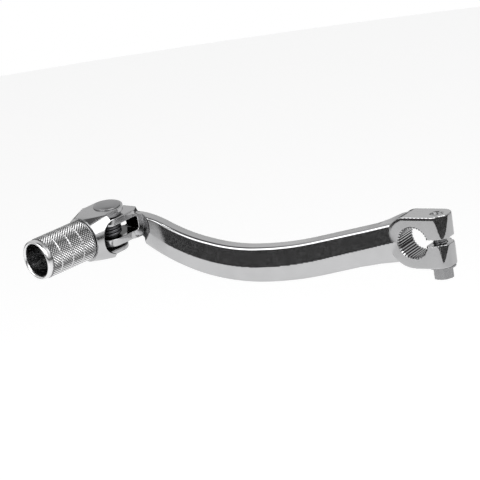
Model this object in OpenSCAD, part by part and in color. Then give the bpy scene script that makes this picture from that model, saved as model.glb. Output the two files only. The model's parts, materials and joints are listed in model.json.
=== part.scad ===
// Motorcycle gear shift lever with a spring-loaded folding toe peg.
// Millimetres. Origin: centre of the splined bore. Y: shaft axis, outside of the bike at -Y.
// The arm runs towards -X and +Z is up.

/* [Shaft clamp] */
// radius over the spline lands
bore_r = 6.2; // [5.5:0.1:7]
// radius at the bottom of the spline grooves
spline_root_r = 6.85; // [6:0.05:7.6]
// number of spline grooves round a full turn
spline_count = 34; // [20:1:40]
// length of the clamp along the shaft
clamp_w = 13.7; // [11:0.1:16]
// half height of the clamp
clamp_r = 11.1; // [10:0.1:13]
// distance from the bore to the free end of the ears
ear_reach = 14.8; // [13.5:0.1:18]
// corner radius of the ears seen from above
ear_corner_r = 5.6; // [2:0.1:6.5]
// height of the slit between the ears
slit_h = 2.5; // [1:0.1:3]

/* [Pinch bolt] */
// distance from the bore to the bolt
bolt_x = 9.2; // [9.2:0.05:11]
// radius of the bolt's thread
bolt_r = 2.95; // [2.4:0.05:3]
// width across the flats of the head
head_af = 8; // [7:0.5:10]
// height of the head
head_h = 4.6; // [3.5:0.1:6]
// outside radius of the washer
washer_r = 5.7; // [4.5:0.1:6]
// thickness of the washer
washer_t = 0.9; // [0.6:0.1:1.6]

/* [Arm] */
// how far the arm swings outwards from the clamp
arm_angle = 11; // [0:0.5:20]
// width of the arm at its parting ridge
arm_w = 9.6; // [7:0.1:12]
// height of the section above its parting ridge
arm_up = 8; // [5:0.1:10]
// height of the section below its parting ridge
arm_down = 7.4; // [5:0.1:10]
// draft angle of the side faces
draft = 7; // [3:0.5:10]
// edge rounding of the section
edge_r = 1.3; // [0.5:0.1:2]
// downward slope of the run next to the clamp
drop_angle = 10.8; // [5:0.1:20]
// distance from the bore to the arm's lowest point
dip_s = 69; // [50:1:90]
// depth of the lowest point of the ridge
dip_z = -8.7; // [-15:0.1:0]
// bend radius on the clamp side of the dip
near_bend_r = 140; // [100:1:200]
// bend radius on the toe side of the dip
far_bend_r = 81; // [60:1:120]

/* [Toe hinge] */
// pivot centre, forward of the bore
pivot_x = -130.2; // [-150:0.1:-110]
// pivot centre, outboard of the bore
pivot_y = -34; // [-50:0.1:-15]
// pivot centre, above the bore
pivot_z = 12.8; // [0:0.1:30]
// outboard lean of the hinge
hinge_pitch = 5; // [0:0.5:12]
// lean of the hinge towards the clamp
hinge_roll = 6; // [0:0.5:12]
// forward sweep of the peg
peg_sweep = 16; // [0:0.5:30]
// upward slope of the peg from square to the pin
peg_lift = 1.6; // [0:0.1:4]
// height of the lug above the pivot centre
lug_up = 6.3; // [5:0.1:8]
// depth of the lug below the pivot centre
lug_down = 6.8; // [5:0.1:8]
// radius of the lug's end
lug_r = 7.2; // [5.5:0.1:9]
// half height of the spring slot in the lug
spring_slot_hh = 3.1; // [2:0.1:4]

/* [Toe peg] */
// radius of the knurl
knurl_r = 9; // [7:0.1:10]
// distance from the pivot to the knurl
knurl_start = 16.4; // [16:0.1:24]
// length of the knurl
knurl_len = 22.8; // [16:0.1:30]
// length of the plain lip beyond the knurl
lip_len = 2.7; // [1:0.1:4]
// radius of the hollow
hollow_r = 7.1; // [5:0.1:7.5]
// depth of the hollow
hollow_depth = 19; // [10:0.5:22]
// height of the upper ear's face above the pivot centre
ear_up = 10.4; // [9:0.1:12]
// depth of the lower ear's face below the pivot centre
ear_down = 9.3; // [9:0.1:12]
// half width of the ears
ear_hw = 6.95; // [5:0.05:9]
// how far the ears sit off the pin, away from the clamp
ear_shift = 0.35; // [0:0.05:1]
// top of the fork slot above the pivot centre
fork_up = 8.1; // [6:0.1:9]
// bottom of the fork slot below the pivot centre
fork_down = 7.4; // [6:0.1:9]
// distance from the pivot to the bottom of the fork slot
fork_depth = 12.5; // [10:0.1:14]
// distance from the pivot to the rim of the neck's cone
rim_start = 6.8; // [6:0.1:9]
// radius of that rim
rim_r = 12.9; // [11:0.1:13.5]
// radius of the cone where it meets the grip
neck_r = 9.8; // [8.5:0.1:10.5]
// distance from the pivot to the end of the neck's cone
neck_end = 15.6; // [14:0.1:16]

/* [Pivot] */
// radius of the pivot pin
pin_r = 2.5; // [2:0.1:3]
// radius of the pin's head
pin_head_r = 6.2; // [4:0.1:7]
// height of the pin's head
pin_head_h = 1.2; // [0.8:0.1:2]
// outside radius of the bush
bush_r = 3.2; // [2.8:0.1:4]
// radius of the bush's flange
flange_r = 5.6; // [4.5:0.1:6.5]
// radius of the spring wire
wire_r = 0.7; // [0.5:0.05:1]
// turns in the spring
coil_turns = 3; // [2:1:4]

/* [Hidden] */
$fn = 96;
// clearance between parts that turn on each other
run_gap = 0.05;
// clearance between parts that are fixed together
fit_gap = 0.02;
arm_overlap = 1;
hole_chamfer = 0.2;
lug_root_s = 124.8;
lug_neck_y = 6.5;
spring_slot_depth = 10.5;
// hollow in the arm that clears the folded peg
scoop_r = 11;
scoop_x = 17.5;
scoop_y = 7;
// reach of the lower ear's rim as it swings under the arm
ear_sweep_r = 14;
arm_turn_in_hinge = arm_angle + peg_sweep;
end_turn = 45;
near_end_s = dip_s - near_bend_r * sin(drop_angle);
near_end_z = dip_z + near_bend_r * (1 - cos(drop_angle));
coil_r = bush_r + 0.25 + wire_r;
coil_pitch = 2 * wire_r + 0.1;
// space left between the lug and the parts that turn on it
face_gap = 0.3;
knurl_end = knurl_start + knurl_len;
peg_end = knurl_end + lip_len;
pin_sink_h = 1.5;
pin_sink_r = pin_r + 1.3;
reach = 60;

// ---- frames ----

module in_arm_frame() {
    rotate([0, 0, arm_angle])
        children();
}

// origin at the pivot centre, Z along the pivot, the peg towards -Y
module in_hinge_frame() {
    translate([pivot_x, pivot_y, pivot_z])
        rotate([hinge_pitch, hinge_roll, -peg_sweep])
            children();
}

// ---- arm ----

// half of the arm's width at a height from the ridge
function half_w(h) = arm_w / 2 - abs(h) * tan(draft);

// section with X towards the arm's underside and Y across it
module arm_section(inset = 0) {
    top = -arm_up + edge_r + inset;
    bottom = arm_down - edge_r - inset;
    top_y = half_w(top) - edge_r - inset;
    bottom_y = half_w(bottom) - edge_r - inset;
    polygon([
        [top, -top_y - edge_r],
        [0, inset - arm_w / 2],
        [bottom, -bottom_y - edge_r],
        [bottom, bottom_y + edge_r],
        [0, arm_w / 2 - inset],
        [top, top_y + edge_r],
    ]);
    translate([top - edge_r, -top_y])
        square([edge_r - top, 2 * top_y]);
    translate([0, -bottom_y])
        square([bottom + edge_r, 2 * bottom_y]);
    for (side = [-1, 1]) {
        translate([top, side * top_y])
            circle(edge_r);
        translate([bottom, side * bottom_y])
            circle(edge_r);
    }
}

// part of a ring in the XZ plane, from one angle to the next
module arm_bend(s, z, r, from, turn) {
    translate([-s, 0, z])
        rotate([90, 0, 0])
            rotate_extrude(angle = turn, start = from)
                translate([r, 0])
                    arm_section();
}

module arm_run() {
    run = near_end_s / cos(drop_angle);
    translate([-near_end_s, 0, near_end_z])
        rotate([0, 90 - drop_angle, 0])
            translate([0, 0, -arm_overlap])
                linear_extrude(height = run)
                    arm_section(inset = fit_gap);
}

// trims the toe end of the arm to a thinner section
module arm_end_trim() {
    top = [-96, -reach / 2, 6.1];
    top_slope = 23;
    crest = [-lug_root_s - 1, -reach / 2, 15.9];
    under = [-117, -reach / 2, -0.4];
    under_slope = 40;
    translate(top)
        rotate([0, top_slope, 0])
            translate([-reach, 0, 0])
                cube([reach, reach, reach]);
    translate(crest)
        cube([10, reach, reach]);
    translate(under)
        rotate([0, under_slope, 0])
            translate([-reach / 2, 0, -reach])
                cube([reach, reach, reach]);
    translate([-lug_root_s - reach, -reach / 2, -reach / 2])
        cube([reach, reach, 2 * reach]);
}

module arm_beam() {
    in_arm_frame() {
        arm_run();
        arm_bend(dip_s, dip_z + near_bend_r, near_bend_r, -90, drop_angle);
        difference() {
            arm_bend(dip_s, dip_z + far_bend_r, far_bend_r, -90 - end_turn, end_turn);
            arm_end_trim();
        }
    }
}

module clamp_profile() {
    circle(clamp_r);
    translate([0, -clamp_r])
        square([ear_reach, 2 * clamp_r]);
}

module clamp_plan() {
    corner_y = clamp_w / 2 - ear_corner_r;
    translate([-clamp_r, -clamp_w / 2])
        square([clamp_r + ear_reach - ear_corner_r, clamp_w]);
    translate([0, -corner_y])
        square([ear_reach, 2 * corner_y]);
    for (side = [-1, 1])
        translate([ear_reach - ear_corner_r, side * corner_y])
            circle(ear_corner_r);
}

module clamp_block() {
    intersection() {
        rotate([90, 0, 0])
            linear_extrude(height = clamp_w, center = true)
                clamp_profile();
        linear_extrude(height = 2 * clamp_r, center = true)
            clamp_plan();
    }
}

// plan of the lug in the hinge frame: a round end, parallel sides and the elbow to the arm
module lug_plan() {
    circle(lug_r);
    translate([-lug_r, 0])
        square([2 * lug_r, lug_neck_y]);
    elbow_plan();
}

module elbow_plan() {
    polygon([
        [-lug_r, lug_neck_y],
        [lug_r, lug_neck_y],
        [7.2, 8.2],
        [4.6, 12.9],
        [3.6, 13.2],
        [-2.4, 11.4],
        [-5.4, 9.6],
    ]);
}

module lug_block() {
    in_hinge_frame()
        translate([0, 0, -lug_down])
            linear_extrude(height = lug_up + lug_down)
                lug_plan();
}

module spline_grooves() {
    step = 360 / spline_count;
    free = 28;
    for (i = [0:spline_count - 1])
        if (i * step > free && i * step < 360 - free)
            rotate([0, -i * step, 0])
                rotate([90, 0, 0])
                    linear_extrude(height = clamp_w + 1, center = true)
                        polygon([
                            [bore_r - 0.3, -0.4],
                            [spline_root_r, -0.12],
                            [spline_root_r, 0.12],
                            [bore_r - 0.3, 0.4],
                        ]);
}

module shaft_bore() {
    mouth = 0.7;
    rotate([90, 0, 0])
        cylinder(r = bore_r, h = clamp_w + 1, center = true);
    spline_grooves();
    for (side = [-1, 1])
        translate([0, side * (clamp_w / 2 - mouth), 0])
            rotate([-side * 90, 0, 0])
                cylinder(r1 = bore_r, r2 = bore_r + mouth + 0.1, h = mouth + 0.1);
}

module bolt_holes() {
    translate([bolt_x, 0, 0])
        cylinder(r = bolt_r + run_gap, h = clamp_r + 1);
    translate([bolt_x, 0, clamp_r - hole_chamfer])
        cylinder(r1 = bolt_r, r2 = bolt_r + hole_chamfer + 0.1, h = hole_chamfer + 0.1);
    translate([bolt_x, 0, -clamp_r - 1])
        cylinder(r = bolt_r + 0.15, h = clamp_r + 1);
}

module lug_cuts() {
    in_hinge_frame() {
        cylinder(r = bush_r + run_gap, h = reach, center = true);
        translate([-reach / 2, -reach / 2, -spring_slot_hh])
            cube([reach, reach / 2 + spring_slot_depth, 2 * spring_slot_hh]);
        rotate([0, 0, arm_turn_in_hinge])
            translate([scoop_x, -scoop_y, -reach / 2])
                cylinder(r = scoop_r, h = reach);
        folded_neck_room();
        translate([0, 0, -lug_down - reach])
            cylinder(r = ear_sweep_r, h = reach);
    }
}

// room in the elbow for the peg's neck when it is folded
module folded_neck_room() {
    room = 0.4;
    room_h = 14;
    slope = (rim_r - neck_r) / (neck_end - rim_start);
    start = rim_start - room;
    rotate([0, 0, 90])
        rotate([90 - peg_lift, 0, 0])
            translate([0, 0, start])
                cylinder(r1 = rim_r + room, r2 = rim_r + room - slope * room_h, h = room_h);
}

module arm() {
    color([0.78, 0.78, 0.8])
        difference() {
            union() {
                clamp_block();
                arm_beam();
                lug_block();
            }
            shaft_bore();
            translate([bore_r - 2, -clamp_w, -slit_h / 2])
                cube([2 * ear_reach, 2 * clamp_w, slit_h]);
            bolt_holes();
            lug_cuts();
        }
}

// ---- pinch bolt ----

module pinch_bolt() {
    // the end stays below the clamp's top face
    tip_gap = 1.6;
    grip = 2 * clamp_r - tip_gap;
    head_chamfer = 0.2;
    head_flare = 2.4;
    color([0.6, 0.6, 0.62])
        translate([bolt_x, 0, -clamp_r - washer_t])
            union() {
                cylinder(r = bolt_r, h = grip);
                intersection() {
                    translate([0, 0, -head_h])
                        cylinder(r = head_af / 2 / cos(30), h = head_h, $fn = 6);
                    translate([0, 0, -head_h])
                        cylinder(
                            r1 = head_af / 2 - head_chamfer,
                            r2 = head_af / 2 + head_flare,
                            h = head_h
                        );
                }
            }
}

module bolt_washer() {
    color([0.66, 0.66, 0.68])
        translate([bolt_x, 0, -clamp_r - washer_t])
            difference() {
                cylinder(r = washer_r, h = washer_t);
                translate([0, 0, -1])
                    cylinder(r = bolt_r + 0.2, h = washer_t + 2);
            }
}

// ---- toe peg ----

// outline turned about the peg's axis: radius along X, distance from the pivot along Y
module peg_outline() {
    ring_r = knurl_r - 0.4;
    lip_r = 1.2;
    groove_w = 0.8;
    groove_d = 0.35;
    groove_step = 6.05;
    difference() {
        union() {
            polygon([
                [0, -ear_hw - 1],
                [rim_r + 1, -ear_hw - 1],
                [rim_r + 1, rim_start - 0.1],
                [rim_r, rim_start],
                [neck_r, neck_end],
                [ring_r, neck_end],
                [ring_r, knurl_start],
                [knurl_r, knurl_start],
                [knurl_r, knurl_end],
                [knurl_r - 0.3, knurl_end],
                [knurl_r - 0.3, peg_end - lip_r],
                [knurl_r - 0.3 - lip_r, peg_end],
                [0, peg_end],
            ]);
            translate([knurl_r - 0.3 - lip_r, peg_end - lip_r])
                circle(lip_r);
        }
        for (i = [1:3])
            translate([knurl_r - groove_d, knurl_start + groove_step * i - groove_w / 2])
                square([groove_d + 1, groove_w]);
    }
}

module peg_turned() {
    rotate([90 - peg_lift, 0, 0])
        rotate_extrude()
            peg_outline();
}

// hollow with a coned floor, from the free end of the peg
module peg_hollow() {
    floor_h = 3;
    rotate([90 - peg_lift, 0, 0]) {
        translate([0, 0, peg_end - hollow_depth])
            cylinder(r = hollow_r, h = hollow_depth + 1);
        translate([0, 0, peg_end - hollow_depth - floor_h + 0.01])
            cylinder(r1 = 1, r2 = hollow_r, h = floor_h);
    }
}

// cuts the flats and the round ends of the ears
module peg_trim() {
    translate([-ear_shift, 0, 0])
        for (side = [0, 1])
            mirror([side, 0, 0])
                translate([ear_hw, -rim_start, -reach / 2])
                    cube([reach, 2 * reach, reach]);
    translate([-reach / 2, -reach, ear_up])
        cube([reach, 2 * reach, reach]);
    translate([-reach / 2, -reach, -ear_down - reach])
        cube([reach, 2 * reach, reach]);
    linear_extrude(height = reach, center = true)
        difference() {
            translate([-2 * ear_hw, 0])
                square([4 * ear_hw, 2 * ear_hw]);
            translate([-ear_shift, 0])
                circle(ear_hw);
        }
}

// slot between the ears, with a full round end
module fork_slot() {
    slot_r = (fork_up + fork_down) / 2;
    translate([0, -fork_depth + slot_r, fork_up - slot_r])
        rotate([90, 0, 90])
            linear_extrude(height = reach, center = true)
                union() {
                    circle(slot_r);
                    translate([0, -slot_r])
                        square([reach, 2 * slot_r]);
                }
}

module toe_peg() {
    color([0.74, 0.74, 0.76])
        in_hinge_frame()
            difference() {
                peg_turned();
                peg_trim();
                fork_slot();
                cylinder(r = pin_r + fit_gap, h = reach, center = true);
                translate([0, 0, -ear_down])
                    cylinder(r1 = pin_sink_r, r2 = pin_r, h = pin_sink_h);
                peg_hollow();
            }
}

// ---- pivot ----

module pivot_pin() {
    crown_h = 0.7;
    crown_w = 2.4;
    color([0.5, 0.5, 0.52])
        in_hinge_frame() {
            translate([0, 0, -ear_down])
                cylinder(r = pin_r, h = ear_down + ear_up + 0.1);
            translate([0, 0, ear_up])
                cylinder(r = pin_head_r, h = pin_head_h - crown_h);
            translate([0, 0, ear_up + pin_head_h - crown_h])
                cylinder(r1 = pin_head_r, r2 = pin_head_r - crown_w, h = crown_h);
            translate([0, 0, -ear_down])
                cylinder(r1 = pin_sink_r - fit_gap, r2 = pin_r, h = pin_sink_h);
        }
}

module pivot_bush() {
    bush_bottom = -fork_down + fit_gap;
    bush_top = fork_up - fit_gap;
    flange_bottom = lug_up + face_gap;
    color([0.4, 0.4, 0.42])
        in_hinge_frame()
            difference() {
                union() {
                    translate([0, 0, bush_bottom])
                        cylinder(r = bush_r, h = bush_top - bush_bottom);
                    translate([0, 0, flange_bottom])
                        cylinder(r = flange_r, h = bush_top - flange_bottom);
                }
                cylinder(r = pin_r + fit_gap, h = reach, center = true);
            }
}

// ---- return spring ----

// point on the coil's centre line after a number of degrees
function coil_point(a) = [
    -coil_r * cos(a),
    -coil_r * sin(a),
    coil_pitch * (a / 360 - coil_turns / 2)
];

module wire_link(p, q) {
    hull() {
        translate(p)
            sphere(wire_r, $fn = 12);
        translate(q)
            sphere(wire_r, $fn = 12);
    }
}

module return_spring() {
    step = 15;
    turn = 360 * coil_turns;
    peg_leg = [0, -10.9, 0];
    arm_leg = [0, 6, 0];
    color([0.2, 0.2, 0.2])
        in_hinge_frame() {
            wire_link(coil_point(0) + arm_leg, coil_point(0));
            for (a = [0:step:turn - step])
                wire_link(coil_point(a), coil_point(a + step));
            wire_link(coil_point(turn), coil_point(turn) + peg_leg);
        }
}

arm();
pinch_bolt();
bolt_washer();
toe_peg();
pivot_pin();
pivot_bush();
return_spring();
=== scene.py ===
import json
import math

import bmesh
import bpy
import numpy as np
from mathutils import Matrix, Vector


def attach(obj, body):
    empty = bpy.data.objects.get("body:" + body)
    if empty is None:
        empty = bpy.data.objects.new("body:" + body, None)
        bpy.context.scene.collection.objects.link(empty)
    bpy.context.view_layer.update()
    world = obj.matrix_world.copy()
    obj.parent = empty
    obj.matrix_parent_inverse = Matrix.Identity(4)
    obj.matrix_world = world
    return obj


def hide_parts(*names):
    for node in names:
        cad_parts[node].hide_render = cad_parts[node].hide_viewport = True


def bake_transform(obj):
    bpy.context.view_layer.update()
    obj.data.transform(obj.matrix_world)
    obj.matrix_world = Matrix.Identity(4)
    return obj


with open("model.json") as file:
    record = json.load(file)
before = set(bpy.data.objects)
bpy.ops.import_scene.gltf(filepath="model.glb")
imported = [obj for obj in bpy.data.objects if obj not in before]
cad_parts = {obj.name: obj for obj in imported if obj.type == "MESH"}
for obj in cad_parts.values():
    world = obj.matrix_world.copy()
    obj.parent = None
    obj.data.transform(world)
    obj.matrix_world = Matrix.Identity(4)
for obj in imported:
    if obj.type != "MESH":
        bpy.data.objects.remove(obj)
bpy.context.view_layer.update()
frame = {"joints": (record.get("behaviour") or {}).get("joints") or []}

MM = 0.001

# ---- main sizes of the lever, in millimetres, in the CAD's frame ----

BORE_R = 6.2
SPLINE_ROOT_R = 6.85
SPLINES = 34
CLAMP_HALF_W = 6.85
CLAMP_R = 11.1
EAR_REACH = 14.8
SLIT_HALF = 1.25
BOLT_X = 9.2
BOLT_R = 2.95
ARM_ANGLE = 11.0
DRAFT = math.radians(7.0)
DIP_S, DIP_Z = 69.0, -8.7
NEAR_BEND_R, FAR_BEND_R = 140.0, 81.0
DROP = math.radians(10.8)
BEAM_TOP_Z, BEAM_END_S = 16.6, 127.5
PEG_SWEEP = 16.0
HINGE_PITCH, HINGE_ROLL = 5.0, 6.0
PEG_LIFT = 1.6
LUG_R, LUG_UP, LUG_DOWN = 7.2, 6.3, 6.8
SLOT_HH, SLOT_DEPTH, SLOT_WALL, SLOT_WALL_Y = 3.1, 10.5, 2.0, -3.5
BUSH_R, FLANGE_R = 3.2, 5.6
PIN_R = 2.5
FORK_UP, FORK_DOWN, FORK_DEPTH = 8.1, 7.4, 12.5
EAR_UP, EAR_DOWN, EAR_HW, EAR_SHIFT = 10.4, 9.3, 6.95, 0.35
RIM_START, RIM_R = 6.8, 12.9
NECK_END, NECK_R = 15.6, 9.8
KNURL_R, KNURL_START, KNURL_LEN, LIP_LEN = 9.0, 16.4, 22.8, 2.7
KNURL_END = KNURL_START + KNURL_LEN
PEG_END = KNURL_END + LIP_LEN
HOLLOW_R, HOLLOW_DEPTH = 7.1, 19.0
HEAD_R, HEAD_H = 5.95, 1.2
WASHER_T = 0.9
BOLT_TIP_GAP = 1.6
LUG_RIDGE = 4.1
LUG_TOP_DRAFT = math.tan(math.radians(13.0))
EAR_SWEEP_R = 14.0
FOLD_ROOM = 0.4
SCOOP_S, SCOOP_Y, SCOOP_R = 116.2, 12.95, 9.35
CORNER_R = 5.6
LEAN = 0.15
EDGE_BAND = 1.3
MOUTH = 0.7
RING_R = BORE_R + MOUTH
THREAD_PITCH = 1.0
THREAD_DEPTH = 0.42

# The clamp's corners are ground to leaning facets. Each has its depth, its place around
# the corner in degrees, and how many degrees it takes to fade before and after that.
UPPER_FACET = (9.7, 48, 37, 20)
LOWER_FACET = (7.0, 53, 24, 9)

# ---- the hinge's frame: origin at the pivot centre, Z along the pin, peg towards -Y ----

JOINT = frame["joints"][0]
PIVOT = np.array(JOINT["pos_m"]) / MM


def turn(axis, degrees):
    """Rotation matrix about one axis."""
    return np.array(Matrix.Rotation(math.radians(degrees), 3, axis))


HINGE = turn("Z", -PEG_SWEEP) @ turn("Y", HINGE_ROLL) @ turn("X", HINGE_PITCH)
LIFT = turn("X", -PEG_LIFT)
ARM = turn("Z", ARM_ANGLE)


def to_hinge(p):
    return (p - PIVOT) @ HINGE


def from_hinge(q):
    return np.asarray(q, float) @ HINGE.T + PIVOT


def from_peg(q):
    return from_hinge(np.asarray(q, float) @ LIFT.T)


# ---- distance fields: each takes N x 3 points in millimetres, and is negative inside ----


def disc(x, y, r):
    return np.hypot(x, y) - r


def polygon(x, y, points):
    """Distance to a closed outline in the plane."""
    pts = np.asarray(points, float)
    best = np.full(x.shape, 1e9)
    inside = np.zeros(x.shape, bool)
    for (ax, ay), (bx, by) in zip(pts, np.roll(pts, -1, 0)):
        ex, ey = bx - ax, by - ay
        t = np.clip(((x - ax) * ex + (y - ay) * ey) / (ex * ex + ey * ey), 0, 1)
        best = np.minimum(best, (x - ax - t * ex) ** 2 + (y - ay - t * ey) ** 2)
        if ay != by:
            crosses = (ay > y) != (by > y)
            inside ^= crosses & (x < ex * (y - ay) / ey + ax)
    return np.sqrt(best) * np.where(inside, -1, 1)


def both(a, b, r):
    """What two shapes share, with the edge between them rounded to radius r."""
    return np.minimum(np.maximum(a, b), -r) + np.hypot(
        np.maximum(a + r, 0), np.maximum(b + r, 0)
    )


def cut(a, b, r):
    """Shape a with b taken away, and a rounded edge."""
    return both(a, -b, r)


def joined(a, b, r):
    """Two shapes together, with a fillet of radius r between them."""
    return -both(-a, -b, r)


def smooth_step(x, a, b):
    """Rises from 0 at a to 1 at b."""
    t = np.clip((x - a) / (b - a), 0, 1)
    return t * t * (3 - 2 * t)


# ---- meshing a field ----

CORNERS = np.array([(i, j, k) for i in (0, 1) for j in (0, 1) for k in (0, 1)])
EDGES = [
    (a, b)
    for a in range(8)
    for b in range(a + 1, 8)
    if np.abs(CORNERS[a] - CORNERS[b]).sum() == 1
]


def gradient(field, p, eps=0.01):
    g = np.zeros_like(p)
    for i in range(3):
        d = np.zeros(3)
        d[i] = eps
        g[:, i] = (field(p + d) - field(p - d)) / (2 * eps)
    return g


def surface(field, low, high, step, block=6):
    """Quads on the zero level of a field, and the surface's normals at their corners."""
    low, high = np.array(low, float), np.array(high, float)
    n = (np.ceil((high - low) / step / block).astype(int)) * block
    blocks = n // block
    index = np.stack(
        np.meshgrid(*[np.arange(m) for m in blocks], indexing="ij"), -1
    ).reshape(-1, 3)
    centres = low + (index * block + block / 2) * step
    value = field(centres)
    grid = np.repeat(
        np.repeat(np.repeat(value.reshape(blocks), block, 0), block, 1), block, 2
    ).astype(np.float32)
    near = index[np.abs(value) < block * step * 1.25]
    offsets = np.stack(
        np.meshgrid(*[np.arange(block)] * 3, indexing="ij"), -1
    ).reshape(-1, 3)
    ids = (near[:, None] * block + offsets[None]).reshape(-1, 3)
    grid[tuple(ids.T)] = field(low + ids * step)
    inside = grid < 0
    count = np.zeros(tuple(n - 1), np.int8)
    for i, j, k in CORNERS:
        count += inside[i : n[0] - 1 + i, j : n[1] - 1 + j, k : n[2] - 1 + k]
    cells = np.argwhere((count > 0) & (count < 8))
    values = np.stack([grid[tuple((cells + c).T)] for c in CORNERS], 1)
    total, hits = np.zeros((len(cells), 3)), np.zeros(len(cells))
    for a, b in EDGES:
        va, vb = values[:, a], values[:, b]
        crossing = (va < 0) != (vb < 0)
        t = np.where(crossing, va / np.where(crossing, va - vb, 1), 0)
        point = CORNERS[a] + t[:, None] * (CORNERS[b] - CORNERS[a])
        total[crossing] += point[crossing]
        hits += crossing
    p = low + (cells + total / hits[:, None]) * step
    ident = np.full(tuple(n), -1, np.int32)
    ident[tuple(cells.T)] = np.arange(len(cells))
    quads = []
    for axis in range(3):
        u, v = [(1, 2), (2, 0), (0, 1)][axis]
        first = [slice(1, n[i] - 1) for i in range(3)]
        second = list(first)
        first[axis] = slice(0, n[axis] - 1)
        second[axis] = slice(1, n[axis])
        a, b = inside[tuple(first)], inside[tuple(second)]
        for flip in (False, True):
            at = np.argwhere((a & ~b) if not flip else (~a & b))
            at[:, u] += 1
            at[:, v] += 1
            ring = []
            for du, dv in ((1, 1), (0, 1), (0, 0), (1, 0)):
                cell = at.copy()
                cell[:, u] -= du
                cell[:, v] -= dv
                ring.append(ident[tuple(cell.T)])
            ring = np.stack(ring, 1)
            quads.append(ring[:, ::-1] if flip else ring)
    quads = np.concatenate(quads)
    quads = quads[(quads >= 0).all(1)]
    for _ in range(4):
        g = gradient(field, p)
        size = np.maximum((g * g).sum(1), 0.05)
        move = -field(p)[:, None] * g / size[:, None]
        length = np.linalg.norm(move, axis=1, keepdims=True)
        p = p + move * np.minimum(1, 0.5 * step / np.maximum(length, 1e-9))
    g = gradient(field, p)
    return p, quads, g / np.maximum(np.linalg.norm(g, axis=1, keepdims=True), 1e-9)


def add_mesh(name, points, faces, normals=None):
    """A smooth mesh object from points in millimetres."""
    mesh = bpy.data.meshes.new(name)
    points = np.asarray(points, float) * MM
    if isinstance(faces, np.ndarray):
        mesh.vertices.add(len(points))
        mesh.vertices.foreach_set("co", points.astype(np.float32).ravel())
        mesh.loops.add(faces.size)
        mesh.loops.foreach_set("vertex_index", faces.astype(np.int32).ravel())
        mesh.polygons.add(len(faces))
        mesh.polygons.foreach_set(
            "loop_start", np.arange(0, faces.size, faces.shape[1], dtype=np.int32)
        )
        mesh.update(calc_edges=True)
    else:
        mesh.from_pydata([tuple(p) for p in points], [], faces)
    mesh.validate()
    mesh.shade_smooth()
    if normals is not None:
        mesh.normals_split_custom_set_from_vertices([tuple(v) for v in normals])
    obj = bpy.data.objects.new(name, mesh)
    bpy.context.scene.collection.objects.link(obj)
    return obj


def store_painted_shade(obj, values):
    """Stores how deep each point lies in a groove or recess, for the material to paint shade
    there.
    """
    layer = obj.data.attributes.new("depth", "FLOAT", "POINT")
    layer.data.foreach_set("value", values.astype(np.float32))


def tidy_mesh(obj, sharp=None):
    """Merges doubled points, makes the faces point outwards and marks sharp edges."""
    bm = bmesh.new()
    bm.from_mesh(obj.data)
    bmesh.ops.remove_doubles(bm, verts=bm.verts, dist=1e-7)
    bmesh.ops.dissolve_degenerate(bm, dist=1e-8, edges=bm.edges)
    bmesh.ops.recalc_face_normals(bm, faces=bm.faces)
    bm.to_mesh(obj.data)
    bm.free()
    obj.data.shade_smooth()
    if sharp:
        obj.data.set_sharp_from_angle(angle=math.radians(sharp))


def stands_for(obj, node, body):
    """Hides the CAD node a piece replaces and attaches the piece to the body it moves with.
    """
    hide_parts(node)
    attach(obj, body)


# ---- the arm's forging ----


def arm_beam(p):
    """A straight run from the clamp, then two bends, with drafted sides and a parting ridge.

    h is the height above the ridge line and u the distance along it from the bore.
    """
    a = p @ ARM
    s, y, z = -a[:, 0], a[:, 1], a[:, 2]
    near_z = DIP_Z + NEAR_BEND_R
    far_z = DIP_Z + FAR_BEND_R
    end_s = DIP_S - NEAR_BEND_R * math.sin(DROP)
    end_z = near_z - NEAR_BEND_R * math.cos(DROP)
    far_angle = np.arctan2(s - DIP_S, far_z - z)
    near_angle = np.arctan2(DIP_S - s, near_z - z)
    far_h = FAR_BEND_R - np.hypot(s - DIP_S, far_z - z)
    near_h = NEAR_BEND_R - np.hypot(s - DIP_S, near_z - z)
    run = (end_s - s) * math.cos(DROP) + (z - end_z) * math.sin(DROP)
    run_h = (z - end_z) * math.cos(DROP) - (end_s - s) * math.sin(DROP)
    far = s >= DIP_S
    straight = ~far & (run > 0)
    h = np.where(far, far_h, np.where(straight, run_h, near_h))
    u = np.where(
        far,
        DIP_S + FAR_BEND_R * far_angle,
        np.where(
            straight, DIP_S - NEAR_BEND_R * DROP - run, DIP_S - NEAR_BEND_R * near_angle
        ),
    )
    knots = [0, 20, 45, 70, 95, 112, 122, 135]
    top = np.interp(u, knots, [8.0, 8.0, 8.4, 8.6, 8.2, 7.4, 6.9, 6.5])
    shoulder = np.interp(u, [0, 5, 10, 15], [2.6, 1.8, 0.7, 0])
    top = top + shoulder * smooth_step(y, -2, 4.5)
    root = [0, 7.5, 17.5, 27]
    bottom = np.interp(
        u, root + knots[2:], [10.2, 9.4, 8.0, 7.4, 7.2, 6.9, 6.5, 5.9, 5.5, 5.2]
    )
    half = np.interp(u, knots, [5.2, 5.1, 4.95, 4.75, 4.5, 4.3, 4.25, 4.2])
    side = (np.abs(y) - half) * math.cos(DRAFT) + np.abs(h) * math.sin(DRAFT)
    level = both(h - top, z - BEAM_TOP_Z, 5.0)
    below_clamp_top = np.where(s < DIP_S, z - CLAMP_R + 0.15, -9.0)
    level = both(level, below_clamp_top, 0.8)
    d = both(side, level, 1.2)
    d = both(d, -h - bottom, 1.3)
    d = both(d, s - BEAM_END_S, 1.0)
    return both(d, -s - 1.0, 1.0)


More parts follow.
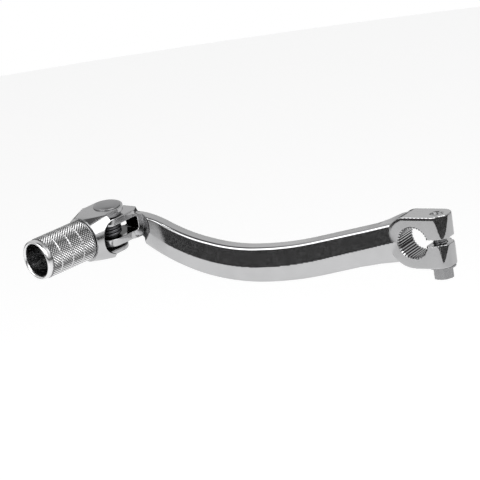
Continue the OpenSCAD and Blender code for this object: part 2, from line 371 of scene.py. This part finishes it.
def lug(p):
    """The lug on the pivot and the elbow from it to the arm."""
    x, y, z = to_hinge(p).T
    plan = disc(x, y, LUG_R)
    inset = 1.2
    neck = polygon(
        x,
        y,
        [
            (inset - LUG_R, 0),
            (LUG_R - inset, 0),
            (LUG_R - inset, 6.8),
            (6.1, 8.0),
            (3.6, 11.8),
            (-2.0, 10.2),
            (-5.0, 8.5),
            (inset - LUG_R, 6.3),
        ],
    )
    plan = np.minimum(plan, neck - inset)
    lean = np.where(z > LUG_RIDGE, LUG_TOP_DRAFT, math.tan(DRAFT))
    plan = (plan + np.abs(z - LUG_RIDGE) * lean) * math.cos(DRAFT)
    middle = (LUG_UP - LUG_DOWN) / 2
    return both(plan, np.abs(z - middle) - (LUG_UP + LUG_DOWN) / 2, 0.5)


def spring_slot(x, y, z):
    """The slot for the spring, closed by a wall on the side away from the arm."""
    slot = both(np.abs(z) - SLOT_HH, y - SLOT_DEPTH, 1.2)
    wall = both(x + LUG_R - SLOT_WALL, SLOT_WALL_Y - y, 0.5)
    return cut(slot, wall, 0.8)


def painted_slot_shade(p):
    """How deep points lie inside the spring's slot, from 0 outside to 1, used as painted
    shade in the slot.
    """
    x, y, z = to_hinge(p).T
    edge = LUG_R - np.hypot(x, np.minimum(y, 0)) - 0.25 * np.maximum(y, 0)
    in_slot = smooth_step(-spring_slot(x, y, z), -0.45, -0.15)
    return 0.85 * smooth_step(edge, 0.5, 2.0) * in_slot


def lug_cuts(p, d):
    """Takes away the arm's scoop, the room for the folded peg, the slot and the bore."""
    x, y, z = to_hinge(p).T
    a = p @ ARM
    scoop = disc(a[:, 0] + SCOOP_S, a[:, 1] + SCOOP_Y, SCOOP_R)
    d = cut(d, scoop, 0.9)
    folded = np.stack([y, -x, z], -1) @ LIFT
    slope = (RIM_R - NECK_R) / (NECK_END - RIM_START)
    along = -folded[:, 1]
    room = np.hypot(folded[:, 0], folded[:, 2]) - RIM_R - FOLD_ROOM
    room = (room + slope * (along - RIM_START)) / math.hypot(1, slope)
    d = cut(d, both(room, RIM_START - FOLD_ROOM - along, 0.01), 0.4)
    sweep = both(disc(x, y, EAR_SWEEP_R), z + LUG_DOWN, 0.01)
    d = cut(d, sweep, 0.3)
    d = cut(d, spring_slot(x, y, z), 0.3)
    return cut(d, disc(x, y, BUSH_R + 0.05), 0.2)


def facet(around, depth, middle, before, after):
    """How far a facet reaches down the corner at each place around it."""
    side = around - middle
    return depth * np.exp(-((side / np.where(side > 0, after, before)) ** 2))


def clamp_body(p):
    """The clamp's block: a round end, two ears, and leaning facets worn on their corners."""
    x, y, z = p.T
    r = CLAMP_R - 0.15
    tall = both(both(-x - r, z - CLAMP_R, 8.2), -z, 0.5)
    ears = both(np.abs(z) - CLAMP_R, -x, 0.01)
    outline = np.minimum(np.minimum(disc(x, z, r), tall), ears)
    profile = both(outline, x - EAR_REACH, 0.01)
    around = np.degrees(
        np.arctan2(np.abs(y) - CLAMP_HALF_W + CORNER_R, x - EAR_REACH + CORNER_R)
    )
    plan = both(np.abs(y) - CLAMP_HALF_W, x - EAR_REACH, CORNER_R)
    near_end = smooth_step(x, 7.0, 9.0)
    wedge = facet(around, *UPPER_FACET) * near_end * smooth_step(-y, -2.5, 0.5)
    worn = np.maximum(outline + EDGE_BAND, z - CLAMP_R + wedge)
    upper_plan = plan + LEAN * np.maximum(worn, 0)
    wedge = facet(around, *LOWER_FACET) * near_end
    worn = np.minimum(z + SLIT_HALF + 0.3 + wedge, 12)
    lower_plan = plan + LEAN * np.maximum(worn, 0) * near_end
    upper = both(both(upper_plan, profile, 0.3), SLIT_HALF - z, 0.25)
    lower = both(both(lower_plan, profile, 0.5), z + SLIT_HALF, 0.25)
    ring = both(both(np.where(z > 0, upper_plan, plan), profile, 0.4), x - BORE_R, 0.01)
    return np.minimum(np.minimum(upper, lower), ring)


def thread_ridge(x, y, z):
    """0 at the root of a thread to 1 at its crest."""
    turns = np.arctan2(y, x) / (2 * math.pi)
    return np.abs(((z / THREAD_PITCH - turns) % 1.0) - 0.5) * 2


def clamp_cuts(p, d):
    """Takes away the bore, the slit and the bolt's hole."""
    x, y, z = p.T
    d = cut(d, disc(x, z, RING_R), 0.05)
    slit = both(np.abs(z) - SLIT_HALF, 3.5 - x, 0.02)
    d = cut(d, slit, 0.15)
    thread = thread_ridge(x - BOLT_X, y, z)
    hole = np.where(z > 0, BOLT_R - 0.45 + 0.5 * thread, BOLT_R + 0.2)
    hole = disc(x - BOLT_X, y, hole)
    sink = disc(x - BOLT_X, y, BOLT_R + 0.15 - np.maximum(CLAMP_R - z, 0)) / 1.4
    d = cut(d, hole, 0.1)
    return cut(d, sink, 0.1)


def arm_field(p):
    """The whole forging."""
    beam = joined(arm_beam(p), lug(p), 2.0)
    beam = lug_cuts(p, beam)
    d = joined(beam, clamp_body(p), 0.25)
    return clamp_cuts(p, d)


ARM_STEP = 0.34


def turned_arm_field(p):
    """The forging with its arm along X, so that its box is small."""
    return arm_field(p @ ARM.T)


points, quads, normals = surface(
    turned_arm_field, (-146, -19, -18.5), (18, 11.5, 23.5), ARM_STEP
)
arm = add_mesh("arm_forging", points @ ARM.T, quads, normals @ ARM.T)
# Painted shade inside the spring's slot.
store_painted_shade(arm, painted_slot_shade(points @ ARM.T))
stands_for(arm, "arm", "lever")

# ---- the spline teeth, a toothed sleeve set into the bore ----


def spline_ring():
    """Points and faces of a split sleeve, and how deep each point lies in a groove, used as
    painted shade in the spline grooves.
    """
    gap = math.asin(SLIT_HALF / BORE_R)
    first, last = gap, 2 * math.pi - gap
    pitch = 2 * math.pi / SPLINES
    per = 16
    a = np.linspace(first, last, SPLINES * per + 1)
    phase = np.abs((a / pitch + 0.5) % 1 - 0.5) * 2
    tooth = smooth_step(phase, 0.3, 0.62)
    plain = math.radians(17)
    tooth = np.where((a < plain) | (a > 2 * math.pi - plain), 1, tooth)
    inner = SPLINE_ROOT_R - (SPLINE_ROOT_R - BORE_R) * tooth
    across = CLAMP_HALF_W - 0.02
    inwards = np.concatenate(
        [np.linspace(0, MOUTH + 0.1, 7), np.linspace(1.0, across, 6)]
    )
    y = np.concatenate([inwards - across, (across - inwards)[::-1][1:]])
    rings, shade = [], []
    for v in y:
        radius = np.maximum(inner, RING_R - (across - abs(v)))
        rings.append(np.stack([radius * np.cos(a), a * 0 + v, radius * np.sin(a)], -1))
        # Painted shade on the groove floors between the teeth, none near the mouth.
        shade.append(1 - tooth if abs(v) < across - 0.4 else 0 * tooth)
    shade += shade[::-1]
    for v in y[::-1]:
        radius = np.full(len(a), RING_R + 0.03)
        rings.append(np.stack([radius * np.cos(a), a * 0 + v, radius * np.sin(a)], -1))
    n, m = len(a), len(rings)
    faces = []
    for k in range(m):
        for i in range(n - 1):
            k2 = (k + 1) % m
            faces.append([k * n + i, k * n + i + 1, k2 * n + i + 1, k2 * n + i])
    half = len(y)
    for i in (0, n - 1):
        for k in range(half - 1):
            quad = [k * n + i, (k + 1) * n + i, (m - 2 - k) * n + i, (m - 1 - k) * n + i]
            faces.append(quad if i == 0 else quad[::-1])
    return np.concatenate(rings), faces, np.concatenate(shade)


pts, faces, depth = spline_ring()
teeth = add_mesh("shaft_splines", pts, faces)
# Painted shade in the spline grooves.
store_painted_shade(teeth, depth)
tidy_mesh(teeth, 40)
stands_for(teeth, "arm", "lever")

# ---- turned pieces ----


def lathe(name, outline, place, segments=96):
    """A closed ring or solid turned from (radius, height) points, then placed."""
    outline = np.asarray(outline, float)
    angles = np.linspace(0, 2 * math.pi, segments, endpoint=False)
    n = len(outline)
    pts = np.stack(
        [
            np.outer(np.cos(angles), outline[:, 0]),
            np.outer(np.sin(angles), outline[:, 0]),
            np.outer(np.ones(segments), outline[:, 1]),
        ],
        -1,
    ).reshape(-1, 3)
    faces = []
    for i in range(segments):
        j = (i + 1) % segments
        for k in range(n):
            m = (k + 1) % n
            quad = [i * n + k, j * n + k, j * n + m, i * n + m]
            faces.append(quad)
    obj = add_mesh(name, place(pts), faces)
    tidy_mesh(obj)
    return obj


def round_edges(obj, degrees, width):
    """Small round edges with flat-looking faces between them."""
    bevel = obj.modifiers.new("edge", "BEVEL")
    bevel.width = width * MM
    bevel.segments = 2
    bevel.limit_method = "ANGLE"
    bevel.angle_limit = math.radians(degrees)
    bevel.harden_normals = True


pin_top = EAR_UP + HEAD_H
pin = lathe(
    "pivot_pin",
    [
        (0, pin_top),
        (1.5, pin_top - 0.02),
        (HEAD_R - 2.4, pin_top - 0.1),
        (HEAD_R - 1.2, pin_top - 0.36),
        (HEAD_R - 0.5, EAR_UP + 0.6),
        (HEAD_R - 0.22, EAR_UP + 0.5),
        (HEAD_R - 0.12, EAR_UP + 0.38),
        (HEAD_R - 0.08, EAR_UP + 0.1),
        (HEAD_R - 0.16, EAR_UP),
        (PIN_R, EAR_UP),
        (PIN_R, 1.5 - EAR_DOWN),
        (PIN_R + 1.25, 0.06 - EAR_DOWN),
        (PIN_R + 1.2, -EAR_DOWN),
        (0, -EAR_DOWN),
    ],
    from_hinge,
    128,
)
round_edges(pin, 12, 0.05)
stands_for(pin, "pivot_pin", "toe")

bush_top, bush_bottom = FORK_UP - 0.05, 0.05 - FORK_DOWN
flange_bottom = LUG_UP + 0.3
bush = lathe(
    "pivot_bush",
    [
        (PIN_R + 0.02, bush_top),
        (FLANGE_R - 0.15, bush_top),
        (FLANGE_R, bush_top - 0.15),
        (FLANGE_R, flange_bottom + 0.15),
        (FLANGE_R - 0.15, flange_bottom),
        (BUSH_R, flange_bottom),
        (BUSH_R, bush_bottom + 0.15),
        (BUSH_R - 0.15, bush_bottom),
        (PIN_R + 0.02, bush_bottom),
    ],
    from_hinge,
    96,
)
round_edges(bush, 30, 0.05)
stands_for(bush, "pivot_bush", "toe")


def bolt_place(q):
    """The bolt's own frame has its origin under the washer."""
    return q + np.array([BOLT_X, 0, -CLAMP_R - WASHER_T])


washer = lathe(
    "bolt_washer",
    [(3.15, 0.02), (5.45, 0.02), (5.65, 0.2), (5.65, 0.7), (5.45, 0.88), (3.15, 0.88)],
    bolt_place,
    96,
)
round_edges(washer, 30, 0.06)
stands_for(washer, "bolt_washer", "lever")

# ---- pinch bolt: hexagon head with a chamfered lower face, washer face and thread ----

HEAD_AF, BOLT_HEAD_H = 8.0, 4.6
SHANK = 2 * CLAMP_R - BOLT_TIP_GAP
THREAD_START = 7.5


def bolt_field(q):
    """A hexagon head with a shallow dish in its end, and a shank threaded at the far end."""
    x, y, z = q.T
    hexagon = np.full(x.shape, -1e9)
    for k in range(3):
        a = math.radians(60 * k + 30)
        hexagon = np.maximum(
            hexagon, np.abs(x * math.cos(a) + y * math.sin(a)) - HEAD_AF / 2
        )
    chamfer = (disc(x, y, HEAD_AF / 2 - 0.05) - (z + BOLT_HEAD_H) * 1.75) / 2.0
    head = both(hexagon, chamfer, 0.12)
    head = both(head, np.abs(z + BOLT_HEAD_H / 2) - BOLT_HEAD_H / 2, 0.2)
    dish = np.hypot(x, y) / 6 - (z + BOLT_HEAD_H) - 0.35
    dish = both(dish, disc(x, y, 2.9), 0.15)
    head = cut(head, both(dish, z + BOLT_HEAD_H - 0.5, 0.1), 0.15)
    threaded = smooth_step(z, THREAD_START, THREAD_START + 0.7)
    thread = THREAD_DEPTH * thread_ridge(x, y, z) * threaded
    shank = disc(x, y, BOLT_R - 0.02 - thread) * 0.8
    shank = both(shank, z - SHANK, 0.4)
    shank = both(shank, -z - 1, 0.1)
    return joined(head, shank, 0.2)


points, quads, normals = surface(bolt_field, (-5, -5, -5.2), (5, 5, 21.4), 0.22)
bolt = add_mesh("pinch_bolt", bolt_place(points), quads, normals)
stands_for(bolt, "pinch_bolt", "lever")

# ---- toe peg: milled fork and neck ----


def fork_field(q):
    """A turned blank milled to two ears, with a round-ended slot between them."""
    x, y, z = q.T
    d = -y
    along = q @ LIFT
    blank = polygon(
        np.hypot(along[:, 0], along[:, 2]),
        -along[:, 1],
        [
            (0, -9),
            (RIM_R + 1, -9),
            (RIM_R + 1, RIM_START - 0.5),
            (RIM_R + 0.17, RIM_START - 0.5),
            (NECK_R, NECK_END),
            (0, NECK_END),
        ],
    )
    body = both(both(blank, z - EAR_UP, 0.3), -z - EAR_DOWN, 0.4)
    across = x + EAR_SHIFT
    ear = np.where(d < 0, np.hypot(across, d), np.abs(across)) - EAR_HW
    body = cut(body, both(-ear, d - RIM_START, 0.6), 0.25)
    slot_r = (FORK_UP + FORK_DOWN) / 2
    slot_d = FORK_DEPTH - slot_r
    height = z - FORK_UP + slot_r
    slot = np.where(d < slot_d, np.abs(height), np.hypot(height, d - slot_d)) - slot_r
    body = cut(body, slot, 0.3)
    return cut(body, disc(x, y, PIN_R + 0.02), 0.1)


points, quads, normals = surface(
    fork_field, (-10.6, -16.6, -11.0), (10.6, 8.4, 11.5), 0.25
)
fork = add_mesh("toe_peg_fork", from_hinge(points), quads, normals @ HINGE.T)
stands_for(fork, "toe_peg", "toe")

# ---- toe peg: knurled grip ----

KNURL_AROUND = 42
KNURL_H = 0.4
RINGS = (22.45, 28.5, 34.55)
# HOLLOW_SHADE is painted shade inside the hollow end of the peg.
HOLLOW_SHADE = 0.62


def saw(w):
    return 1 - np.abs((w % 1) * 2 - 1)


def knurled_grip():
    """The grip's points and faces, and how deep each point lies in the knurl, used as
    painted shade in its valleys, ring grooves and hollow.
    """
    per = 10
    columns = KNURL_AROUND * per
    lead = 2 * math.pi * KNURL_R / KNURL_AROUND
    rows = np.linspace(0, KNURL_LEN, int(KNURL_LEN / lead * per) + 1)
    a = np.linspace(0, 2 * math.pi, columns, endpoint=False)
    aa, dd = np.meshgrid(a, rows, indexing="ij")
    u = aa * KNURL_AROUND / (2 * math.pi)
    v = dd / lead
    ridge = np.minimum(saw(u + v), saw(u - v))
    height = KNURL_H * np.minimum(1, ridge * 1.15)
    fade = np.minimum(dd, KNURL_LEN - dd)
    height = height * smooth_step(fade, -0.1, 0.3)
    groove = np.zeros_like(dd)
    for ring in RINGS:
        off = np.abs(dd + KNURL_START - ring)
        groove = np.maximum(groove, 1 - smooth_step(off, 0.12, 0.3))
    plain = height * (1 - groove) + 0.1 * groove
    height = height * (1 - groove) - 0.1 * groove
    radius = KNURL_R - KNURL_H + height
    before = [
        (8.0, NECK_END - 0.15),
        (8.0, NECK_END + 0.22),
        (8.6, NECK_END + 0.3),
        (8.78, NECK_END + 0.4),
        (8.78, KNURL_START - 0.12),
        (8.5, KNURL_START - 0.02),
    ]
    lip = 8.66
    after = [
        (8.3, KNURL_END + 0.04),
        (8.1, KNURL_END + 0.1),
        (8.1, KNURL_END + 0.5),
        (8.45, KNURL_END + 0.6),
        (lip, KNURL_END + 0.75),
        (lip, KNURL_END + 1.0),
        (lip, PEG_END - 0.95),
        (lip - 0.07, PEG_END - 0.6),
        (lip - 0.25, PEG_END - 0.28),
        (lip - 0.5, PEG_END - 0.08),
        (lip - 0.75, PEG_END),
        (lip - 0.95, PEG_END - 0.04),
        (lip - 1.2, PEG_END - 0.22),
        (lip - 1.42, PEG_END - 0.55),
        (HOLLOW_R + 0.05, PEG_END - 1.0),
        (HOLLOW_R, PEG_END - 1.3),
    ]
    inner = [(HOLLOW_R, PEG_END - k) for k in np.linspace(1.8, HOLLOW_DEPTH, 40)]
    floor_d = PEG_END - HOLLOW_DEPTH
    foot = [(HOLLOW_R * f, floor_d - 1.6 * (1 - f)) for f in (0.8, 0.4, 0)]
    one = np.ones(columns)
    rings = [(0 * one, NECK_END - 0.15, 0 * one)]
    rings += [(r * one, d, 0 * one) for r, d in before]
    for k, row in enumerate(rows):
        # Painted shade: the knurl's valleys and the ring grooves darker.
        deep = 1 - plain[:, k] / KNURL_H - 0.5 * groove[:, k]
        rings.append((radius[:, k], KNURL_START + row, deep))
    rings += [(r * one, d, 0 * one) for r, d in after]
    rings += [(r * one, d, HOLLOW_SHADE * one) for r, d in inner]
    rings += [(r * one, d, 0 * one) for r, d in foot]
    pts = np.concatenate(
        [np.stack([r * np.cos(a), -d * one, r * np.sin(a)], -1) for r, d, _ in rings]
    )
    i = np.arange(columns)
    j = (i + 1) % columns
    quad = np.stack([i, j, columns + j, columns + i], 1)
    faces = np.concatenate([quad + k * columns for k in range(len(rings) - 1)])
    return pts, faces, np.concatenate([deep for _, _, deep in rings])


pts, faces, depth = knurled_grip()
grip = add_mesh("toe_peg_grip", from_peg(pts), faces)
# Painted shade in the knurl's valleys, ring grooves and hollow.
store_painted_shade(grip, depth)
tidy_mesh(grip, 42)
stands_for(grip, "toe_peg", "toe")

# ---- return spring ----

WIRE_R = 0.7
COILS = 3
COIL_R = BUSH_R + 0.25 + WIRE_R
COIL_PITCH = 2 * WIRE_R + 0.1
ARM_LEG, PEG_LEG = 6.0, 10.9


def spring_path():
    """Centre line of the wire: the arm's leg, the turns, the peg's leg."""
    half = COIL_PITCH * COILS / 2
    pts = []
    for t in np.linspace(0, 1, 10)[:-1]:
        pts.append((-COIL_R, ARM_LEG * (1 - t), -half))
    for t in np.linspace(0, 1, 40 * COILS + 1):
        a = 2 * math.pi * COILS * t
        pts.append((-COIL_R * math.cos(a), -COIL_R * math.sin(a), -half + 2 * half * t))
    for t in np.linspace(0, 1, 14)[1:]:
        pts.append((-COIL_R, -PEG_LEG * t, half))
    return np.array(pts)


def tube(path, r, sides=16):
    """Points and faces of a round wire along a path, with its ends rounded off."""
    tangent = np.gradient(path, axis=0)
    tangent /= np.linalg.norm(tangent, axis=1, keepdims=True)
    up = np.array([0.0, 0.0, 1.0])
    side = np.cross(tangent, up)
    side /= np.linalg.norm(side, axis=1, keepdims=True)
    lift = np.cross(side, tangent)
    a = np.linspace(0, 2 * math.pi, sides, endpoint=False)
    round_wire = (
        np.cos(a)[None, :, None] * side[:, None]
        + np.sin(a)[None, :, None] * lift[:, None]
    )
    rings = path[:, None] + r * round_wire
    n = len(path)
    pts = list(rings.reshape(-1, 3))
    faces = []
    for i in range(n - 1):
        for j in range(sides):
            k = (j + 1) % sides
            faces.append(
                [i * sides + j, (i + 1) * sides + j, (i + 1) * sides + k, i * sides + k]
            )
    for end, order in ((0, 1), (n - 1, -1)):
        base = len(pts)
        tip = path[end] - order * 0.18 * r * tangent[end]
        for j in range(sides):
            pts.append(tip + (rings[end, j] - path[end]) * 0.8)
        for j in range(sides):
            k = (j + 1) % sides
            quad = [end * sides + j, end * sides + k, base + k, base + j]
            faces.append(quad[::order])
        faces.append([base + j for j in range(sides)][::-order])
    return np.array(pts), faces


pts, faces = tube(spring_path(), WIRE_R)
spring = add_mesh("return_spring", from_hinge(pts), faces)
tidy_mesh(spring)
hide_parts("return_spring")
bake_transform(spring)

# ---- materials ----


def material(name, metallic=1.0):
    m = bpy.data.materials.new(name)
    m.use_nodes = True
    shader = m.node_tree.nodes["Principled BSDF"]
    shader.inputs["Metallic"].default_value = metallic
    return m, m.node_tree, shader


def noise(tree, scale, detail=3.0, stretch=(1, 1, 1), rotate=(0, 0, 0)):
    """Noise over the object's own space, in features of about 1/scale metres."""
    place = tree.nodes.new("ShaderNodeTexCoord")
    mapping = tree.nodes.new("ShaderNodeMapping")
    mapping.inputs["Scale"].default_value = stretch
    mapping.inputs["Rotation"].default_value = rotate
    tree.links.new(place.outputs["Object"], mapping.inputs["Vector"])
    n = tree.nodes.new("ShaderNodeTexNoise")
    n.inputs["Scale"].default_value = scale
    n.inputs["Detail"].default_value = detail
    tree.links.new(mapping.outputs["Vector"], n.inputs["Vector"])
    return n.outputs["Fac"]


def ramp(tree, value, *stops):
    r = tree.nodes.new("ShaderNodeValToRGB")
    while len(r.color_ramp.elements) < len(stops):
        r.color_ramp.elements.new(0.5)
    for e, (at, c) in zip(r.color_ramp.elements, stops):
        e.position = at
        e.color = (*c, 1) if isinstance(c, tuple) else (c, c, c, 1)
    tree.links.new(value, r.inputs["Fac"])
    return r.outputs["Color"]


def bump(tree, shader, height, strength, distance):
    b = tree.nodes.new("ShaderNodeBump")
    b.inputs["Strength"].default_value = strength
    b.inputs["Distance"].default_value = distance
    tree.links.new(height, b.inputs["Height"])
    tree.links.new(b.outputs["Normal"], shader.inputs["Normal"])


def metal(name, colour, rough, scale, stretch=(1, 1, 1), rotate=(0, 0, 0), relief=0.0):
    """Metal whose colour and roughness vary a little, with a fine grain."""
    m, tree, shader = material(name)
    cloud = noise(tree, 120, 4)
    low = tuple(c * 0.94 for c in colour)
    tree.links.new(
        ramp(tree, cloud, (0.35, low), (0.65, colour)), shader.inputs["Base Color"]
    )
    grain = noise(tree, scale, 3, stretch, rotate)
    tree.links.new(
        ramp(tree, grain, (0.3, rough[0]), (0.7, rough[1])), shader.inputs["Roughness"]
    )
    if relief:
        bump(tree, shader, grain, 0.5, relief)
    return m


polished = metal("polished_aluminium", (0.41, 0.41, 0.415), (0.10, 0.17), 900)
satin = metal("satin_aluminium", (0.41, 0.41, 0.415), (0.14, 0.22), 1400)
knurled = metal("knurled_aluminium", (0.66, 0.66, 0.665), (0.16, 0.26), 1400)
bore = metal("broached_aluminium", (0.42, 0.42, 0.425), (0.16, 0.26), 1400)
brushed = metal(
    "brushed_pin", (0.30, 0.30, 0.305), (0.28, 0.4), 2600, (0.06, 1, 1), (0, 0, 0.4), 2e-5
)
plated = metal("plated_steel", (0.30, 0.30, 0.305), (0.2, 0.32), 1500)
black = metal("blackened_wire", (0.09, 0.09, 0.095), (0.25, 0.4), 1600)
steel = metal("turned_steel", (0.2, 0.2, 0.205), (0.25, 0.38), 1600)


def paint_valley_shade(m):
    """Paints shade on the points marked as deep, making them darker than the rest."""
    tree = m.node_tree
    shader = tree.nodes["Principled BSDF"]
    deep = tree.nodes.new("ShaderNodeAttribute")
    deep.attribute_name = "depth"
    shade = ramp(tree, deep.outputs["Fac"], (0.4, 1.0), (0.9, 0.06))
    mix = tree.nodes.new("ShaderNodeMix")
    mix.data_type = "RGBA"
    mix.blend_type = "MULTIPLY"
    mix.inputs["Factor"].default_value = 1.0
    link = shader.inputs["Base Color"].links[0]
    tree.links.new(link.from_socket, mix.inputs["A"])
    tree.links.new(shade, mix.inputs["B"])
    tree.links.new(mix.outputs["Result"], shader.inputs["Base Color"])


# Painted shade on the marked points of the arm, the grip and the spline teeth.
paint_valley_shade(polished)
paint_valley_shade(knurled)
paint_valley_shade(bore)

for obj, m in (
    (arm, polished),
    (teeth, bore),
    (fork, satin),
    (grip, knurled),
    (pin, brushed),
    (bush, steel),
    (bolt, plated),
    (washer, plated),
    (spring, black),
):
    obj.data.materials.clear()
    obj.data.materials.append(m)

# ---- floor, light and camera ----

FLOOR_Z, FLOOR_R, FLOOR_SIDES = -0.55, 3.6, 96
floor_mesh = bpy.data.meshes.new("floor")
ring = [
    (FLOOR_R * math.cos(a), FLOOR_R * math.sin(a), FLOOR_Z)
    for a in np.linspace(0, 2 * math.pi, FLOOR_SIDES, endpoint=False)
]
floor_mesh.from_pydata(ring, [], [list(range(FLOOR_SIDES))])
floor = bpy.data.objects.new("floor", floor_mesh)
bpy.context.scene.collection.objects.link(floor)
m, tree, shader = material("pale_floor", 0.0)
shader.inputs["Base Color"].default_value = (0.8, 0.8, 0.8, 1)
shader.inputs["Emission Color"].default_value = (1, 1, 1, 1)
shader.inputs["Emission Strength"].default_value = 0.36
shader.inputs["Roughness"].default_value = 0.9
shader.inputs["Specular IOR Level"].default_value = 0.1
floor.data.materials.append(m)

world = bpy.data.worlds.new("studio")
bpy.context.scene.world = world
world.use_nodes = True
tree = world.node_tree
tree.nodes.clear()
out = tree.nodes.new("ShaderNodeOutputWorld")
place = tree.nodes.new("ShaderNodeTexCoord")
split = tree.nodes.new("ShaderNodeSeparateXYZ")
tree.links.new(place.outputs["Generated"], split.inputs[0])
scaled = tree.nodes.new("ShaderNodeMath")
scaled.operation = "MULTIPLY_ADD"
scaled.inputs[1].default_value = 0.5
scaled.inputs[2].default_value = 0.5
tree.links.new(split.outputs["Z"], scaled.inputs[0])


def at_elevation(degrees):
    """Where an elevation above the horizon falls on the sky's ramp."""
    return 0.5 + 0.5 * math.sin(math.radians(degrees))


sky = ramp(
    tree,
    scaled.outputs[0],
    (0.0, 0.4),
    (at_elevation(-12), 0.4),
    (at_elevation(-9), 0.025),
    (at_elevation(4), 0.025),
    (at_elevation(9), 0.33),
    (at_elevation(58), 0.33),
    (at_elevation(68), 0.06),
    (1.0, 0.06),
)
shine = tree.nodes.new("ShaderNodeBackground")
shine.inputs["Strength"].default_value = 2.5
tree.links.new(sky, shine.inputs["Color"])
plain = tree.nodes.new("ShaderNodeBackground")
plain.inputs["Color"].default_value = (1, 1, 1, 1)
plain.inputs["Strength"].default_value = 1.0
path = tree.nodes.new("ShaderNodeLightPath")
mix = tree.nodes.new("ShaderNodeMixShader")
tree.links.new(path.outputs["Is Camera Ray"], mix.inputs["Fac"])
tree.links.new(shine.outputs[0], mix.inputs[1])
tree.links.new(plain.outputs[0], mix.inputs[2])
tree.links.new(mix.outputs[0], out.inputs["Surface"])


def area_light(name, position, aim, size, power):
    """A round lamp at a place, turned towards a point."""
    data = bpy.data.lights.new(name, "AREA")
    data.shape = "DISK"
    data.size = size
    data.energy = power
    obj = bpy.data.objects.new(name, data)
    bpy.context.scene.collection.objects.link(obj)
    obj.location = position
    aim = Vector(aim) - Vector(position)
    obj.rotation_mode = "QUATERNION"
    obj.rotation_quaternion = aim.to_track_quat("-Z", "Y")
    return obj


middle = (-0.06, -0.02, 0.0)
area_light("softbox", (-0.42, -1.35, 1.0), middle, 1.5, 16)
area_light("side_softbox", (0.91, -0.45, 1.06), middle, 1.25, 13)

camera_data = bpy.data.cameras.new("camera")
camera = bpy.data.objects.new("camera", camera_data)
bpy.context.scene.collection.objects.link(camera)
bpy.context.scene.camera = camera
SENSOR_MM, VIEW_ANGLE = 36, 12
camera_data.sensor_width = SENSOR_MM
camera_data.lens = SENSOR_MM / 2 / math.tan(math.radians(VIEW_ANGLE / 2))
camera_data.clip_start, camera_data.clip_end = 0.05, 20
right = Vector((0.85598, 0.49838, -0.13757))
up = Vector((-0.01792, 0.29452, 0.95548))
forward = Vector((-0.51670, 0.81540, -0.26104))
pose = Matrix((right, up, -forward)).transposed().to_4x4()
pose.translation = Vector((0.42489, -0.80828, 0.25645))
camera.matrix_world = pose

bpy.context.scene.view_settings.view_transform = "Standard"
